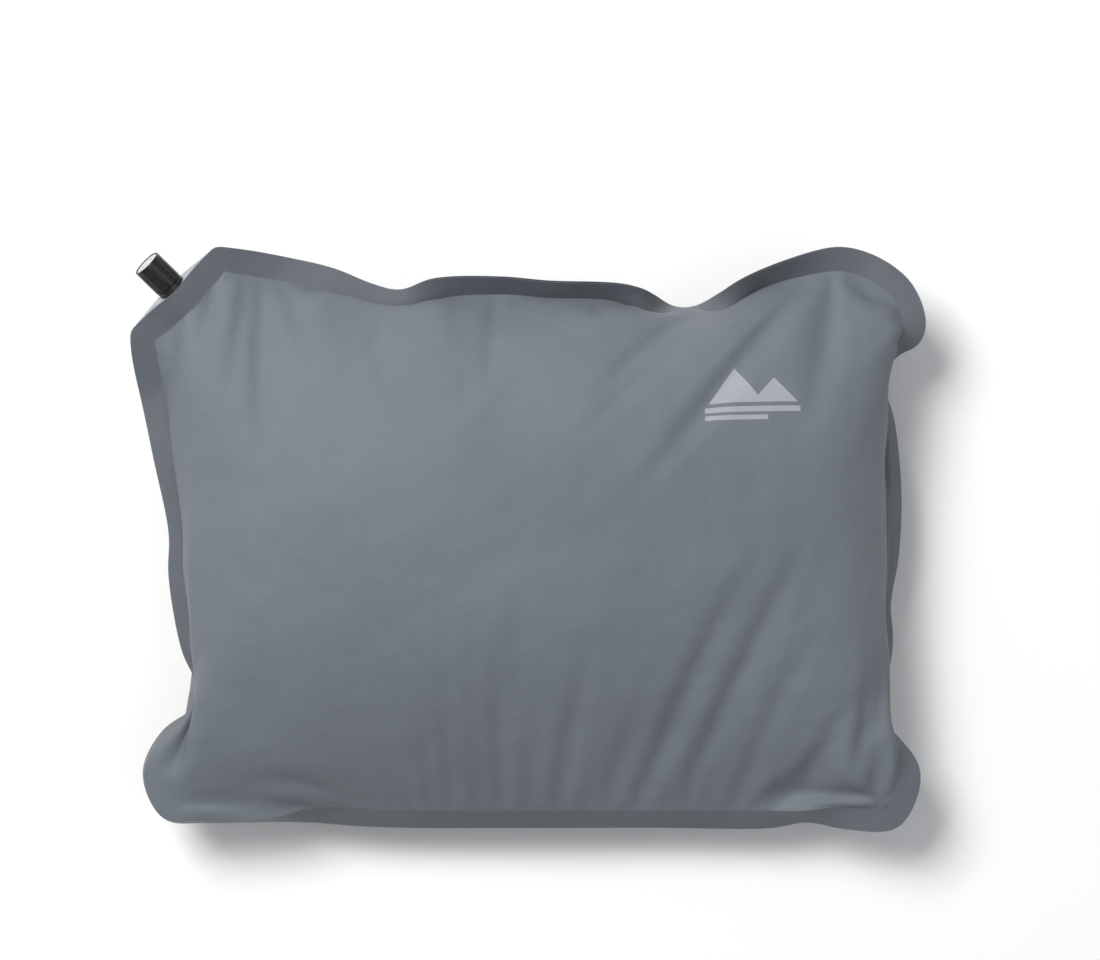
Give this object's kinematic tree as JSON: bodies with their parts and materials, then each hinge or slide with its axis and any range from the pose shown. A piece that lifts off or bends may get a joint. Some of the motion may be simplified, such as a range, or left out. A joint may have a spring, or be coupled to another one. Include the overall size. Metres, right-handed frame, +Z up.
{
  "type": "camp pillow",
  "caption": "Self-inflating camp pillow: two welded fabric panels over a foam core, with a twist valve in one cut corner.",
  "frame": {"origin": "under the middle of the pillow, on the surface that it lies on", "axes": "+X along the width, +Y along the depth towards the valve's side, +Z up through the thickness; the valve is in the corner at -X +Y"},
  "size_m": [0.4036, 0.2969, 0.09],
  "materials": {
    "coated_fabric": "plain-weave grey polyester with a satin coating",
    "fused_film": "milky heat-welded film",
    "open_cell_foam": "open-cell foam",
    "clear_soft_plastic": "translucent soft plastic",
    "black_plastic": "satin moulded black plastic",
    "natural_plastic": "uncoloured moulded plastic",
    "black_rubber": "soft black rubber"
  },
  "bodies": {
    "pillow": {"front_panel": "coated_fabric", "back_panel": "coated_fabric", "weld_seam": "fused_film", "foam_core": "open_cell_foam", "valve_boot": "clear_soft_plastic", "valve_stem": "black_plastic", "valve_plug": "natural_plastic"},
    "cap_carrier": {"cap_o_ring": "black_rubber"},
    "cap": {"valve_cap": "black_plastic", "mouth_seal": "clear_soft_plastic"}
  },
  "joints": [
    {"name": "cap_climb", "type": "slide", "parent": "pillow", "child": "cap_carrier", "axis": [-0.6642, 0.6648, 0.342], "range_m": [0, 0.003]},
    {"name": "cap_twist", "type": "hinge", "parent": "cap_carrier", "child": "cap", "pos_m": [-0.18077, 0.12708, 0.05592], "axis": [-0.6642, 0.6648, 0.342], "range_deg": [0, 360]}
  ],
  "couplings": [
    {"joint": "cap_twist", "follows": "cap_climb", "rad_per_m": 2094.4}
  ]
}
